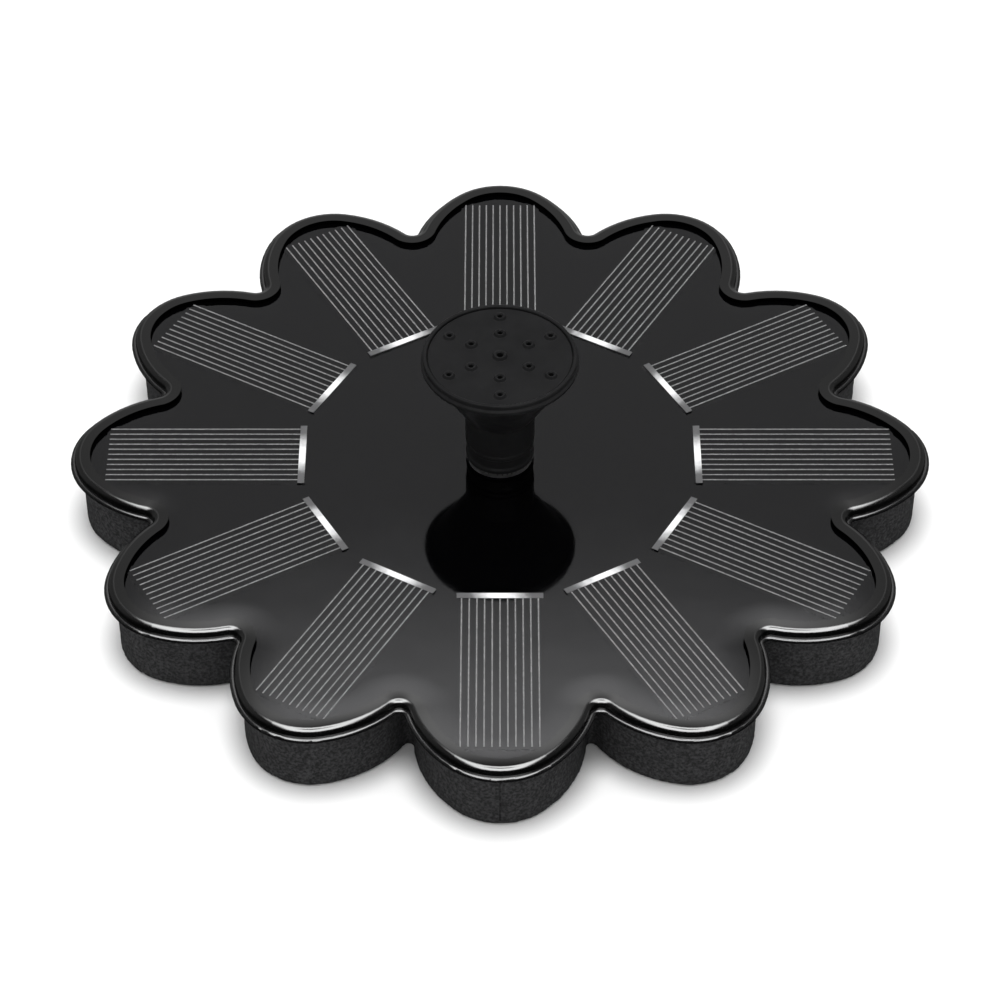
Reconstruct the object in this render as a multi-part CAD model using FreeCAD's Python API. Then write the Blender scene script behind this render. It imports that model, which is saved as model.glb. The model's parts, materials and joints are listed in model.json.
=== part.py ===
"""Floating solar fountain pump: a flower-shaped solar panel on a foam float, with a slim brushless
pump under its centre and a pull-off shower nozzle on top.

Frame: millimetres, +Z up, origin at the centre of the float's flat underside. Petal axes lie at
every 30 degrees from +X. Each function below makes one physical piece, and pieces only touch.
"""
import FreeCAD
import Part

import math
import os

from FreeCAD import Vector

# ---------------------------------------------------------------- flower outline
PETALS = 12
TIP_RADIUS = 80.0            # the tray's lip, from the centre to a petal's tip
# A petal is a tip arc, a tangent flank arc on each side, and a small concave arc in each valley
TIP_ARC = 0.1716 * TIP_RADIUS
FLANK_ARC = 0.3002 * TIP_RADIUS
VALLEY_ARC = 0.0133 * TIP_RADIUS
TIP_HALF_ANGLE = 40.1        # degrees of tip arc either side of the petal's axis

# Insets from the lip's outline
COVER_INSET = 0.75
COVER_SKIRT = 1.2
PLATFORM_INSET = 2.2
BOARD_INSET = 2.5
FOAM_INSET = 2.0
TAPE_INSET = 3.0
FOAM_VALLEY_ARC = 0.8        # the foam is cut in deeper between its petals than the panel

# Heights of the stack, from the float's underside up
FOAM_TOP = 13.2
TAPE_TOP = 13.4
LIP_TOP = 14.1
TRAY_TOP = 14.2
BOARD_TOP = 14.6
CELL_TOP = 14.8
FINGER_TOP = 14.85
RIBBON_TOP = 14.9
COVER_SOFFIT = 14.95
PANEL_TOP = 15.5

COVER_EDGE_ROUND = 1.2
LIP_TOP_ROUND = 0.5
LIP_BOTTOM_ROUND = 0.15
FOAM_EDGE_ROUND = 0.6
FOAM_BORE = 34.0
TAPE_BORE = 35.5
COVER_HOLE = 5.9
BOARD_HOLE = 6.2
TRAY_HOLE = 25.1

# ---------------------------------------------------------------- solar strips
CELL_INNER = 35.9
CELL_OUTER = 73.6
CELL_WIDTH = 15.5
RIBBON_AT = 36.8             # centre line of the ribbon, from the flower's centre
RIBBON_WIDTH = 1.25
FINGERS = 11
FINGER_PITCH = 1.37
FINGER_WIDTH = 0.25
FINGER_OUTER = 73.0

# ---------------------------------------------------------------- pump housing
HOUSING_R = 25.0
CAVITY_R = 23.4
HOUSING_BOTTOM = 3.7
CHAMBER_TOP = 6.9
CAVITY_FLOOR = 7.7
POTTING_TOP = 14.0
HOUSING_TOP = 14.1
RISER_R = 4.5
RISER_BORE = 2.8
RISER_TOP = 27.5
RISER_CHAMFER = 0.5
GROOVE_R = 3.7
GROOVE_BOTTOM = 22.5
GROOVE_HEIGHT = 1.2
ORING_GAP = 0.005
VOLUTE_R = 9.0
CHANNEL_WIDTH = 4.5
RISER_POCKET_R = 3.05
ROTOR_X = -10.5
ROTOR_Y = CHANNEL_WIDTH / 2 - VOLUTE_R       # puts the channel's outer wall tangent to the volute
WELL_BORE = 5.6
WELL_R = 6.4
WELL_CEILING = 13.1
WELL_ROOF = 13.9

# Ears on the housing, and the bosses they screw up into
EARS = 4
FIRST_EAR = 45.0
EAR_AT = 29.2
EAR_R = 3.6
EAR_HOLE_R = 1.5
EAR_BOTTOM = 6.1
EAR_TOP = 7.5
BOSS_R = 3.2
RIB_HALF = 0.6
RIB_OUTER = 33.4
RIB_BOTTOM = 9.5

# ---------------------------------------------------------------- screws, all driven upwards
SCREW_GAP = 0.05             # radial clearance in a pilot hole
HEAD_ROUND = 0.25
RECESS_REACH = 0.58          # of the head's radius
RECESS_HALF = 0.25
RECESS_DEPTH = 0.6
SCREW_R = 1.25
SCREW_HEAD_R = 2.6
SCREW_HEAD = 1.8
SCREW_TOP = 12.6
PILOT_TOP = 13.0
SMALL_SCREW_R = 0.95
SMALL_HEAD_R = 1.9
SMALL_HEAD_BOTTOM = 2.55
SMALL_SINK_R = 2.0
SMALL_SINK_TOP = 3.3
SMALL_HOLE_R = 1.1
SMALL_PILOT_TOP = 7.2
SMALL_SCREW_AT = 17.5
SMALL_SCREW_ANGLES = (-50.0, 30.0, 130.0)

# ---------------------------------------------------------------- intake
VOLUTE_COVER_BOTTOM = 2.5
VOLUTE_COVER_R = 24.8
EYE_R = 3.8
SPIDER_HUB_R = 2.4
SPIDER_SPOKES = 3
SPIDER_FIRST = 90.0
SPIDER_REACH = 4.0
SPIDER_HALF = 0.5
SEAL_R = 22.7
SEAL_WIRE = 0.4
SEAL_GROOVE_HALF = 0.6
CAP_BOTTOM = 0.4
CAP_FLOOR = 1.4
CAP_TOP = 5.7
CAP_R = 26.4
CAP_BORE = 25.05
CAP_ROUND = 0.6
# Count, inner radius, outer radius and half width of each ring of radial slots
SLOT_RINGS = ((12, 6.0, 12.5, 0.75), (24, 14.5, 23.5, 0.9))
WINDOWS = 24
WINDOW_HALF = 1.4
WINDOW_BOTTOM = 1.6
WINDOW_TOP = 2.3
GRIP_HALF_LENGTH = 4.6
GRIP_HALF_WIDTH = 0.8
GRIP_BOTTOM = 0.1
SPONGE_R = 24.6

# ---------------------------------------------------------------- rotor and bearings
SHAFT_R = 1.0
SHAFT_BOTTOM = 2.9
SEAT_R = 2.0
UPPER_SEAT_R = 2.2
UPPER_SEAT_BOTTOM = 12.5
WASHER_R = 2.0
LOWER_WASHER_TOP = 4.1
UPPER_WASHER_BOTTOM = 12.2
BUSH_BORE = 1.04
BUSH_R = 1.8
BUSH_BOTTOM = 4.2
BUSH_TOP = 12.1
STEM_R = 3.0
STEM_COLLAR_R = 3.6
MAGNET_R = 5.0
MAGNET_BOTTOM = 6.8
MAGNET_TOP = 11.8
RETAINER_R = 4.6
IMPELLER_R = 7.4
IMPELLER_HUB_R = 2.6
BACK_PLATE_BOTTOM = 5.9
BACK_PLATE_TOP = 6.5
BLADES = 6
BLADE_HALF = 0.4
BLADE_INNER = 2.0
BLADE_OUTER = 7.2

# ---------------------------------------------------------------- stator, in its own frame
# Its +X runs from the riser towards the rotor, and its Y is the distance to either side
ROTOR_OFFSET = math.hypot(ROTOR_X, ROTOR_Y)
CORE_ANGLE = math.degrees(math.atan2(ROTOR_Y, ROTOR_X))
CORE_BOTTOM = 9.35
CORE_TOP = 12.35
ARM_INNER = 6.6
ARM_OUTER = 9.6
YOKE_OUTER = -17.0
YOKE_INNER = -14.0
POLE_INNER = 5.4
POLE_START = 5.5             # before the rotor's axis
POLE_END = 3.3               # past the rotor's axis
WELL_GAP = 0.2
BOBBIN_HALF = 6.0
BOBBIN_WALL = 0.4
BOBBIN_FLANGE = 0.5
FLANGE_MARGIN = 0.2
WINDING = 1.0
WINDING_ROUND = 0.9
DRIVER_BOARD_BOTTOM = 8.7
DRIVER_BOARD_TOP = 9.5
DRIVER_BOARD_X = (-11.4, -5.4)
DRIVER_BOARD_HALF = 6.2
CHIP_X = (-10.6, -6.6)
CHIP_HALF = 2.5
CHIP_TOP = 11.0
CAPACITOR_X = (-9.4, -7.8)
CAPACITOR_AT = 3.9
CAPACITOR_HALF = 0.8
CAPACITOR_TOP = 10.7
HALL_THICK = 1.4
HALL_HALF = 2.0
HALL_TOP = 12.5
DIODE_HALF = 2.2
DIODE_Y = (13.4, 16.0)
DIODE_BOTTOM = 12.2
LEAD_R = 0.45
LEAD_X = -10.2
LEAD_AT = 5.2

# ---------------------------------------------------------------- nozzle, heights above the panel's top
TUBE_BORE = 4.55
TUBE_THROAT_R = 3.2
TUBE_THROAT_GAP = 0.4
TUBE_NECK_R = 5.3
TUBE_COLLAR_R = 6.0
TUBE_COLLAR_TOP = 4.2
TUBE_TOP = 13.5
TUBE_TOP_CHAMFER = 0.4
BEAD_R = 6.3
BEAD_HEIGHT = 0.9
BEAD_CHAMFER = 0.2
BEAD_SLOPE = 0.3
HEAD_BORE = 5.35
HEAD_THROAT_R = 4.2
HEAD_THROAT_GAP = 0.2
HEAD_THROAT_LIP = 0.6
HEAD_NECK_R = 6.4
HEAD_NECK_CHAMFER = 0.25
HEAD_NECK_TOP = 10.5
HEAD_WALL = 1.2
FUNNEL_R = 13.0
FUNNEL_TOP = 21.5
FUNNEL_INSIDE_TOP = 21.8
RIM_R = 14.4
RIM_BOTTOM = 22.1
RIM_TOP = 24.2
RIM_STEP = 0.35              # the rim's upper part is this much smaller than its flange
FLANGE_TOP = 22.9
RIM_FOOT_ROUND = 0.3
RIM_TIP_ROUND = 0.3
PLATE_R = 13.25
PLATE_SEAT_R = 13.3
PLATE_BOTTOM = 22.7
PLATE_TOP = 23.8
PLATE_CHAMFER = 0.2
JET_SPOKES = 6
FIRST_SPOKE = 30.0
JET_RINGS = (0.42 * RIM_R, 0.74 * RIM_R)
JET_HEIGHT = 0.55
JET_TAPER = 0.35
JET_R = 1.2
JET_HOLE_R = 0.45
CENTRE_JET_R = 1.45
CENTRE_JET_HOLE_R = 0.6
COUNTERSINK = 0.25

UP = Vector(0, 0, 1)
ORIGIN = Vector(0, 0, 0)
THROUGH = 1.0                # how far a cutting tool runs past the face it opens
SAME = 1e-4                  # lengths closer than this are equal


# ---------------------------------------------------------------- helpers
def disc(radius, bottom, top, x=0.0, y=0.0):
    return Part.makeCylinder(radius, top - bottom, Vector(x, y, bottom))


def ring(outer, inner, bottom, top):
    return disc(outer, bottom, top).cut(disc(inner, bottom - THROUGH, top + THROUGH))


def block(x0, x1, y0, y1, z0, z1):
    return Part.makeBox(x1 - x0, y1 - y0, z1 - z0, Vector(x0, y0, z0))


def turned(shape, degrees):
    """A copy of the shape turned about the flower's axis."""
    copy = shape.copy()
    copy.rotate(ORIGIN, UP, degrees)
    return copy


def around(shape, count, first=0.0):
    return [turned(shape, first + 360.0 * k / count) for k in range(count)]


def at_rotor(shape):
    """A shape made about the flower's axis, moved to the rotor's axis."""
    return shape.translated(Vector(ROTOR_X, ROTOR_Y, 0))


def in_core_frame(shape):
    return turned(shape, CORE_ANGLE)


def lathe(points):
    """A solid of revolution about Z from (radius, height) points."""
    wire = Part.makePolygon([Vector(radius, 0, height) for radius, height in points + points[:1]])
    return Part.Face(wire).revolve(ORIGIN, UP, 360)


def fuse_all(shapes):
    return shapes[0].multiFuse(shapes[1:]).removeSplitter()


def cut_all(shape, tools):
    for tool in tools:
        shape = shape.cut(tool)
    return shape


def edges_at(shape, height):
    """Edges that lie wholly in the plane at that height."""
    def flat(edge):
        box = edge.BoundBox
        return abs(box.ZMin - height) < SAME and abs(box.ZMax - height) < SAME

    return [edge for edge in shape.Edges if flat(edge)]


def circles_at(shape, height, radius):
    return [edge for edge in edges_at(shape, height) if abs(edge.Curve.Radius - radius) < SAME]


def arc_about(centre, radius, start, end, height):
    """An arc round a plan centre, between two angles in radians."""
    def point(angle):
        return Vector(centre[0] + radius * math.cos(angle), centre[1] + radius * math.sin(angle), height)

    return Part.Arc(point(start), point((start + end) / 2), point(end)).toShape()


def flower_face(inset, height, valley):
    """The flower outline, moved inwards by inset, with valley arcs of that radius, as a flat face."""
    half_pitch = math.pi / PETALS
    beta = math.radians(TIP_HALF_ANGLE)
    tip_centre = (TIP_RADIUS - TIP_ARC, 0.0)
    back = FLANK_ARC - TIP_ARC
    flank_centre = (tip_centre[0] - back * math.cos(beta), -back * math.sin(beta))
    flank = FLANK_ARC - inset
    # The valley arc's centre is on the valley line, one flank and one valley radius from the flank's centre
    valley_line = (math.cos(half_pitch), math.sin(half_pitch))
    along = valley_line[0] * flank_centre[0] + valley_line[1] * flank_centre[1]
    excess = flank_centre[0] ** 2 + flank_centre[1] ** 2 - (flank + valley) ** 2
    reach = along + math.sqrt(along ** 2 - excess)
    valley_centre = (reach * valley_line[0], reach * valley_line[1])
    turn = math.atan2(valley_centre[1] - flank_centre[1], valley_centre[0] - flank_centre[0])
    half_petal = Part.Wire([
        arc_about(tip_centre, TIP_ARC - inset, 0.0, beta, height),
        arc_about(flank_centre, flank, beta, turn, height),
        arc_about(valley_centre, valley, turn + math.pi, half_pitch + math.pi, height),
    ])
    edges = []
    for half in (half_petal, half_petal.mirror(ORIGIN, Vector(0, 1, 0))):
        for copy in around(half, PETALS):
            edges += copy.Edges
    return Part.Face(Part.Wire(Part.__sortEdges__(edges)))


def flower(inset, bottom, top, valley=None):
    """A flower-shaped slab. Its valleys follow the lip's unless they are given a radius."""
    face = flower_face(inset, bottom, valley or VALLEY_ARC + inset)
    return face.extrude(Vector(0, 0, top - bottom))


# ---------------------------------------------------------------- panel and float
def clear_cover():
    """Clear resin lid over the cells, with a rolled edge and a skirt glued onto the tray's lip."""
    lid = flower(COVER_INSET, LIP_TOP, PANEL_TOP)
    lid = lid.makeFillet(COVER_EDGE_ROUND, edges_at(lid, PANEL_TOP))
    lid = lid.cut(flower(COVER_INSET + COVER_SKIRT, LIP_TOP - THROUGH, COVER_SOFFIT))
    return lid.cut(disc(COVER_HOLE, LIP_TOP, PANEL_TOP + THROUGH))


def panel_tray():
    """Moulded base of the panel: rounded lip, platform for the board, and ribbed screw bosses below."""
    lip = flower(0.0, TAPE_TOP, LIP_TOP)
    lip = lip.makeFillet(LIP_TOP_ROUND, edges_at(lip, LIP_TOP))
    lip = lip.makeFillet(LIP_BOTTOM_ROUND, edges_at(lip, TAPE_TOP))
    boss = disc(BOSS_R, EAR_TOP, TAPE_TOP, EAR_AT)
    rib = block(EAR_AT, RIB_OUTER, -RIB_HALF, RIB_HALF, RIB_BOTTOM, TAPE_TOP)
    bosses = around(boss, EARS, FIRST_EAR) + around(rib, EARS, FIRST_EAR)
    body = fuse_all([lip, flower(PLATFORM_INSET, LIP_TOP, TRAY_TOP)] + bosses)
    body = body.cut(disc(TRAY_HOLE, TAPE_TOP - THROUGH, TRAY_TOP + THROUGH))
    pilot = disc(SCREW_R + SCREW_GAP, EAR_TOP - THROUGH, PILOT_TOP, EAR_AT)
    return cut_all(body, around(pilot, EARS, FIRST_EAR))


def cell_board():
    """Black printed circuit board that carries the cells."""
    board = flower(BOARD_INSET, TRAY_TOP, BOARD_TOP)
    return board.cut(disc(BOARD_HOLE, TRAY_TOP - THROUGH, BOARD_TOP + THROUGH))


def solar_cell():
    """One silicon strip, on the petal along +X."""
    half = CELL_WIDTH / 2
    return block(CELL_INNER, CELL_OUTER, -half, half, BOARD_TOP, CELL_TOP)


def busbar_ribbons():
    """Tinned ribbon soldered across the inner end of every cell."""
    half = CELL_WIDTH / 2
    inner = RIBBON_AT - RIBBON_WIDTH / 2
    ribbon = block(inner, inner + RIBBON_WIDTH, -half, half, CELL_TOP, RIBBON_TOP)
    return Part.makeCompound(around(ribbon, PETALS))


def cell_fingers():
    """Printed silver grid lines, running out from each ribbon."""
    inner = RIBBON_AT + RIBBON_WIDTH / 2
    half = FINGER_WIDTH / 2
    lines = []
    for k in range(FINGERS):
        y = (k - (FINGERS - 1) / 2) * FINGER_PITCH
        lines += around(block(inner, FINGER_OUTER, y - half, y + half, CELL_TOP, FINGER_TOP), PETALS)
    return Part.makeCompound(lines)


def foam_float():
    slab = flower(FOAM_INSET, 0.0, FOAM_TOP, FOAM_VALLEY_ARC)
    slab = slab.makeFillet(FOAM_EDGE_ROUND, edges_at(slab, 0.0))
    return slab.cut(disc(FOAM_BORE, -THROUGH, FOAM_TOP + THROUGH))


def float_tape():
    """Double-sided adhesive between foam and tray."""
    sheet = flower(TAPE_INSET, FOAM_TOP, TAPE_TOP, FOAM_VALLEY_ARC + TAPE_INSET - FOAM_INSET)
    return sheet.cut(disc(TAPE_BORE, FOAM_TOP - THROUGH, TAPE_TOP + THROUGH))


# ---------------------------------------------------------------- pump, fixed parts
def housing_ear():
    """One screw ear, on +X."""
    ear = fuse_all([
        disc(EAR_R, EAR_BOTTOM, EAR_TOP, EAR_AT),
        block(CAVITY_R, EAR_AT, -EAR_R, EAR_R, EAR_BOTTOM, EAR_TOP),
    ])
    return ear.cut(disc(EAR_HOLE_R, EAR_BOTTOM - THROUGH, EAR_TOP + THROUGH, EAR_AT))


def pump_housing():
    """Round can: impeller chamber below, dry motor cavity above, rotor well and outlet riser inside."""
    riser = disc(RISER_R, CAVITY_FLOOR, RISER_TOP)
    riser = riser.makeChamfer(RISER_CHAMFER, edges_at(riser, RISER_TOP))
    body = fuse_all([
        ring(HOUSING_R, CAVITY_R, CAVITY_FLOOR, HOUSING_TOP),
        disc(HOUSING_R, HOUSING_BOTTOM, CAVITY_FLOOR),
        at_rotor(disc(WELL_R, CAVITY_FLOOR, WELL_ROOF)),
        riser,
    ] + around(housing_ear(), EARS, FIRST_EAR))
    half = CHANNEL_WIDTH / 2
    below = HOUSING_BOTTOM - THROUGH
    hollows = [
        at_rotor(disc(WELL_BORE, HOUSING_BOTTOM, WELL_CEILING)),
        at_rotor(disc(VOLUTE_R, below, CHAMBER_TOP)),
        block(ROTOR_X, 0, -half, half, below, CHAMBER_TOP),
        disc(RISER_POCKET_R, below, CHAMBER_TOP),
        disc(RISER_BORE, HOUSING_BOTTOM, RISER_TOP + THROUGH),
        ring(RISER_R + THROUGH, GROOVE_R, GROOVE_BOTTOM, GROOVE_BOTTOM + GROOVE_HEIGHT),
    ]
    pilot = disc(SMALL_SCREW_R + SCREW_GAP, below, SMALL_PILOT_TOP, SMALL_SCREW_AT)
    hollows += [turned(pilot, angle) for angle in SMALL_SCREW_ANGLES]
    return cut_all(body, hollows)


def outlet_oring():
    """O-ring in the riser's groove, which grips the nozzle tube."""
    wire = (TUBE_BORE - GROOVE_R) / 2 - ORING_GAP
    return Part.makeTorus(GROOVE_R + wire, wire, Vector(0, 0, GROOVE_BOTTOM + GROOVE_HEIGHT / 2))


def outlet_grommet():
    """Rubber bush that seals the riser in the panel's centre hole."""
    return ring(COVER_HOLE, RISER_R, TRAY_TOP, PANEL_TOP)


def upward_screw(head_r, head_bottom, head_top, shank_r, shank_top):
    """A cross-recessed screw on the flower's axis, with its head at the bottom."""
    screw = fuse_all([disc(head_r, head_bottom, head_top), disc(shank_r, head_top, shank_top)])
    screw = screw.makeFillet(HEAD_ROUND, edges_at(screw, head_bottom))
    reach = RECESS_REACH * head_r
    slot = block(-reach, reach, -RECESS_HALF, RECESS_HALF, head_bottom - THROUGH, head_bottom + RECESS_DEPTH)
    return cut_all(screw, [slot, turned(slot, 90)])


def pump_screws():
    """Self-tapping screws through the ears into the tray."""
    screw = upward_screw(SCREW_HEAD_R, EAR_BOTTOM - SCREW_HEAD, EAR_BOTTOM, SCREW_R, SCREW_TOP)
    return Part.makeCompound(around(screw.translated(Vector(EAR_AT, 0, 0)), EARS, FIRST_EAR))


def volute_screws():
    """Small screws that hold the volute cover, with their heads sunk in it."""
    screw = upward_screw(SMALL_HEAD_R, SMALL_HEAD_BOTTOM, SMALL_SINK_TOP, SMALL_SCREW_R, CHAMBER_TOP)
    screw = screw.translated(Vector(SMALL_SCREW_AT, 0, 0))
    return Part.makeCompound([turned(screw, angle) for angle in SMALL_SCREW_ANGLES])


def volute_cover():
    """Plate that closes the impeller chamber, with the intake eye and its spoked shaft support."""
    bottom = VOLUTE_COVER_BOTTOM
    top = HOUSING_BOTTOM
    spoke = block(0, SPIDER_REACH, -SPIDER_HALF, SPIDER_HALF, bottom, top)
    spider = fuse_all([disc(SPIDER_HUB_R, bottom, top)] + around(spoke, SPIDER_SPOKES, SPIDER_FIRST))
    plate = disc(VOLUTE_COVER_R, bottom, top).cut(at_rotor(disc(EYE_R, bottom - THROUGH, top + THROUGH)))
    plate = fuse_all([plate, at_rotor(spider)])
    tools = [
        at_rotor(disc(SEAT_R, SHAFT_BOTTOM, top + THROUGH)),
        ring(SEAL_R + SEAL_GROOVE_HALF, SEAL_R - SEAL_GROOVE_HALF, top - 2 * SEAL_WIRE, top + THROUGH),
    ]
    sink = disc(SMALL_SINK_R, bottom - THROUGH, SMALL_SINK_TOP, SMALL_SCREW_AT)
    hole = disc(SMALL_HOLE_R, bottom, top + THROUGH, SMALL_SCREW_AT)
    for angle in SMALL_SCREW_ANGLES:
        tools += [turned(sink, angle), turned(hole, angle)]
    return cut_all(plate, tools)


def volute_seal():
    return Part.makeTorus(SEAL_R, SEAL_WIRE, Vector(0, 0, HOUSING_BOTTOM - SEAL_WIRE))


# ---------------------------------------------------------------- motor, fixed parts
def stator_core():
    """U-shaped lamination stack: its arms pass the riser and end in poles round the rotor well."""
    start = ROTOR_OFFSET - POLE_START
    end = ROTOR_OFFSET + POLE_END
    core = fuse_all([
        block(YOKE_OUTER, YOKE_INNER, -ARM_OUTER, ARM_OUTER, CORE_BOTTOM, CORE_TOP),
        block(YOKE_OUTER, end, ARM_INNER, ARM_OUTER, CORE_BOTTOM, CORE_TOP),
        block(YOKE_OUTER, end, -ARM_OUTER, -ARM_INNER, CORE_BOTTOM, CORE_TOP),
        block(start, end, POLE_INNER, ARM_OUTER, CORE_BOTTOM, CORE_TOP),
        block(start, end, -ARM_OUTER, -POLE_INNER, CORE_BOTTOM, CORE_TOP),
    ])
    room = disc(WELL_R + WELL_GAP, CORE_BOTTOM - THROUGH, CORE_TOP + THROUGH, ROTOR_OFFSET)
    return in_core_frame(core.cut(room))


def yoke_sleeve(grow, y0, y1):
    """A block round the yoke, grown by the given amount on all four sides."""
    return block(YOKE_OUTER - grow, YOKE_INNER + grow, y0, y1, CORE_BOTTOM - grow, CORE_TOP + grow)


def coil_bobbin():
    """Plastic bobbin on the yoke: a square tube with a flange at each end."""
    flange = BOBBIN_WALL + WINDING + FLANGE_MARGIN
    inner = BOBBIN_HALF - BOBBIN_FLANGE
    bobbin = fuse_all([
        yoke_sleeve(BOBBIN_WALL, -BOBBIN_HALF, BOBBIN_HALF),
        yoke_sleeve(flange, -BOBBIN_HALF, -inner),
        yoke_sleeve(flange, inner, BOBBIN_HALF),
    ])
    return in_core_frame(bobbin.cut(yoke_sleeve(0.0, -BOBBIN_HALF - THROUGH, BOBBIN_HALF + THROUGH)))


def stator_coil():
    """Enamelled copper winding between the bobbin's flanges, with rounded corners."""
    inner = BOBBIN_HALF - BOBBIN_FLANGE
    coil = yoke_sleeve(BOBBIN_WALL + WINDING, -inner, inner)
    corners = [edge for edge in coil.Edges if abs(edge.BoundBox.YLength - 2 * inner) < SAME]
    coil = coil.makeFillet(WINDING_ROUND, corners)
    return in_core_frame(coil.cut(yoke_sleeve(BOBBIN_WALL, -inner - THROUGH, inner + THROUGH)))


def driver_board():
    """Small circuit board between coil and riser."""
    half = DRIVER_BOARD_HALF
    return in_core_frame(block(*DRIVER_BOARD_X, -half, half, DRIVER_BOARD_BOTTOM, DRIVER_BOARD_TOP))


def driver_chip():
    return in_core_frame(block(*CHIP_X, -CHIP_HALF, CHIP_HALF, DRIVER_BOARD_TOP, CHIP_TOP))


def driver_capacitors():
    inner = CAPACITOR_AT - CAPACITOR_HALF
    outer = CAPACITOR_AT + CAPACITOR_HALF
    left = block(*CAPACITOR_X, inner, outer, DRIVER_BOARD_TOP, CAPACITOR_TOP)
    right = block(*CAPACITOR_X, -outer, -inner, DRIVER_BOARD_TOP, CAPACITOR_TOP)
    return in_core_frame(Part.makeCompound([left, right]))


def hall_sensor():
    """Senses the magnet through the well's wall."""
    start = ROTOR_OFFSET + WELL_R + WELL_GAP
    return in_core_frame(block(start, start + HALL_THICK, -HALL_HALF, HALL_HALF, DRIVER_BOARD_TOP, HALL_TOP))


def blocking_diode():
    """Soldered under the cell board, over the pump."""
    return in_core_frame(block(-DIODE_HALF, DIODE_HALF, *DIODE_Y, DIODE_BOTTOM, TRAY_TOP))


def power_lead(side):
    """Insulated wire straight down from the cell board to the driver board."""
    return in_core_frame(disc(LEAD_R, DRIVER_BOARD_TOP, TRAY_TOP, LEAD_X, side * LEAD_AT))


def potting_resin(buried):
    """Resin that fills the dry cavity round everything in it."""
    fill = disc(CAVITY_R, CAVITY_FLOOR, POTTING_TOP)
    fill = fill.cut(at_rotor(disc(WELL_R, CAVITY_FLOOR - THROUGH, WELL_ROOF)))
    fill = fill.cut(disc(RISER_R, CAVITY_FLOOR - THROUGH, POTTING_TOP + THROUGH))
    return cut_all(fill, buried)


# ---------------------------------------------------------------- shaft, bearings and rotor
def rotor_shaft():
    """Fixed ceramic shaft, held at both ends."""
    return at_rotor(disc(SHAFT_R, SHAFT_BOTTOM, WELL_CEILING))


def lower_shaft_seat():
    return at_rotor(ring(SEAT_R, SHAFT_R, SHAFT_BOTTOM, HOUSING_BOTTOM))


def upper_shaft_seat():
    return at_rotor(ring(UPPER_SEAT_R, SHAFT_R, UPPER_SEAT_BOTTOM, WELL_CEILING))


def lower_thrust_washer():
    return at_rotor(ring(WASHER_R, BUSH_BORE, HOUSING_BOTTOM, LOWER_WASHER_TOP))


def upper_thrust_washer():
    return at_rotor(ring(WASHER_R, BUSH_BORE, UPPER_WASHER_BOTTOM, UPPER_SEAT_BOTTOM))


def rotor_bush():
    return at_rotor(ring(BUSH_R, BUSH_BORE, BUSH_BOTTOM, BUSH_TOP))


def impeller():
    """Back plate with straight blades below, which pump either way round, and a stem for the magnet."""
    blade = block(BLADE_INNER, BLADE_OUTER, -BLADE_HALF, BLADE_HALF, BUSH_BOTTOM, BACK_PLATE_BOTTOM)
    wheel = fuse_all([
        disc(IMPELLER_R, BACK_PLATE_BOTTOM, BACK_PLATE_TOP),
        disc(STEM_COLLAR_R, BACK_PLATE_TOP, MAGNET_BOTTOM),
        disc(STEM_R, MAGNET_BOTTOM, MAGNET_TOP),
        disc(IMPELLER_HUB_R, BUSH_BOTTOM, BACK_PLATE_BOTTOM),
    ] + around(blade, BLADES))
    return at_rotor(wheel.cut(disc(BUSH_R, BUSH_BOTTOM - THROUGH, MAGNET_TOP + THROUGH)))


def rotor_magnet():
    return at_rotor(ring(MAGNET_R, STEM_R, MAGNET_BOTTOM, MAGNET_TOP))


def magnet_retainer():
    return at_rotor(ring(RETAINER_R, BUSH_R, MAGNET_TOP, BUSH_TOP))


# ---------------------------------------------------------------- strainer
def radial_slot(inner, outer, half):
    """A round-ended cutting tool through the strainer's floor, along +X."""
    bottom = CAP_BOTTOM - THROUGH
    top = CAP_FLOOR + THROUGH
    return fuse_all([
        block(inner, outer, -half, half, bottom, top),
        disc(half, bottom, top, inner),
        disc(half, bottom, top, outer),
    ])


def strainer_cap():
    """Slotted cup that pushes onto the housing from below and holds the filter sponge."""
    cup = disc(CAP_R, CAP_BOTTOM, CAP_TOP)
    cup = cup.makeFillet(CAP_ROUND, edges_at(cup, CAP_BOTTOM))
    cup = cup.cut(disc(CAP_BORE, CAP_FLOOR, CAP_TOP + THROUGH))
    for count, inner, outer, half in SLOT_RINGS:
        cup = cup.cut(Part.makeCompound(around(radial_slot(inner, outer, half), count)))
    window = block(CAP_BORE - THROUGH, CAP_R + THROUGH, -WINDOW_HALF, WINDOW_HALF, WINDOW_BOTTOM, WINDOW_TOP)
    cup = cup.cut(Part.makeCompound(around(window, WINDOWS)))
    length = GRIP_HALF_LENGTH
    width = GRIP_HALF_WIDTH
    grip = block(-length, length, -width, width, GRIP_BOTTOM, CAP_FLOOR)
    return fuse_all([cup, grip])


def filter_sponge():
    return disc(SPONGE_R, CAP_FLOOR, VOLUTE_COVER_BOTTOM)


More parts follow.
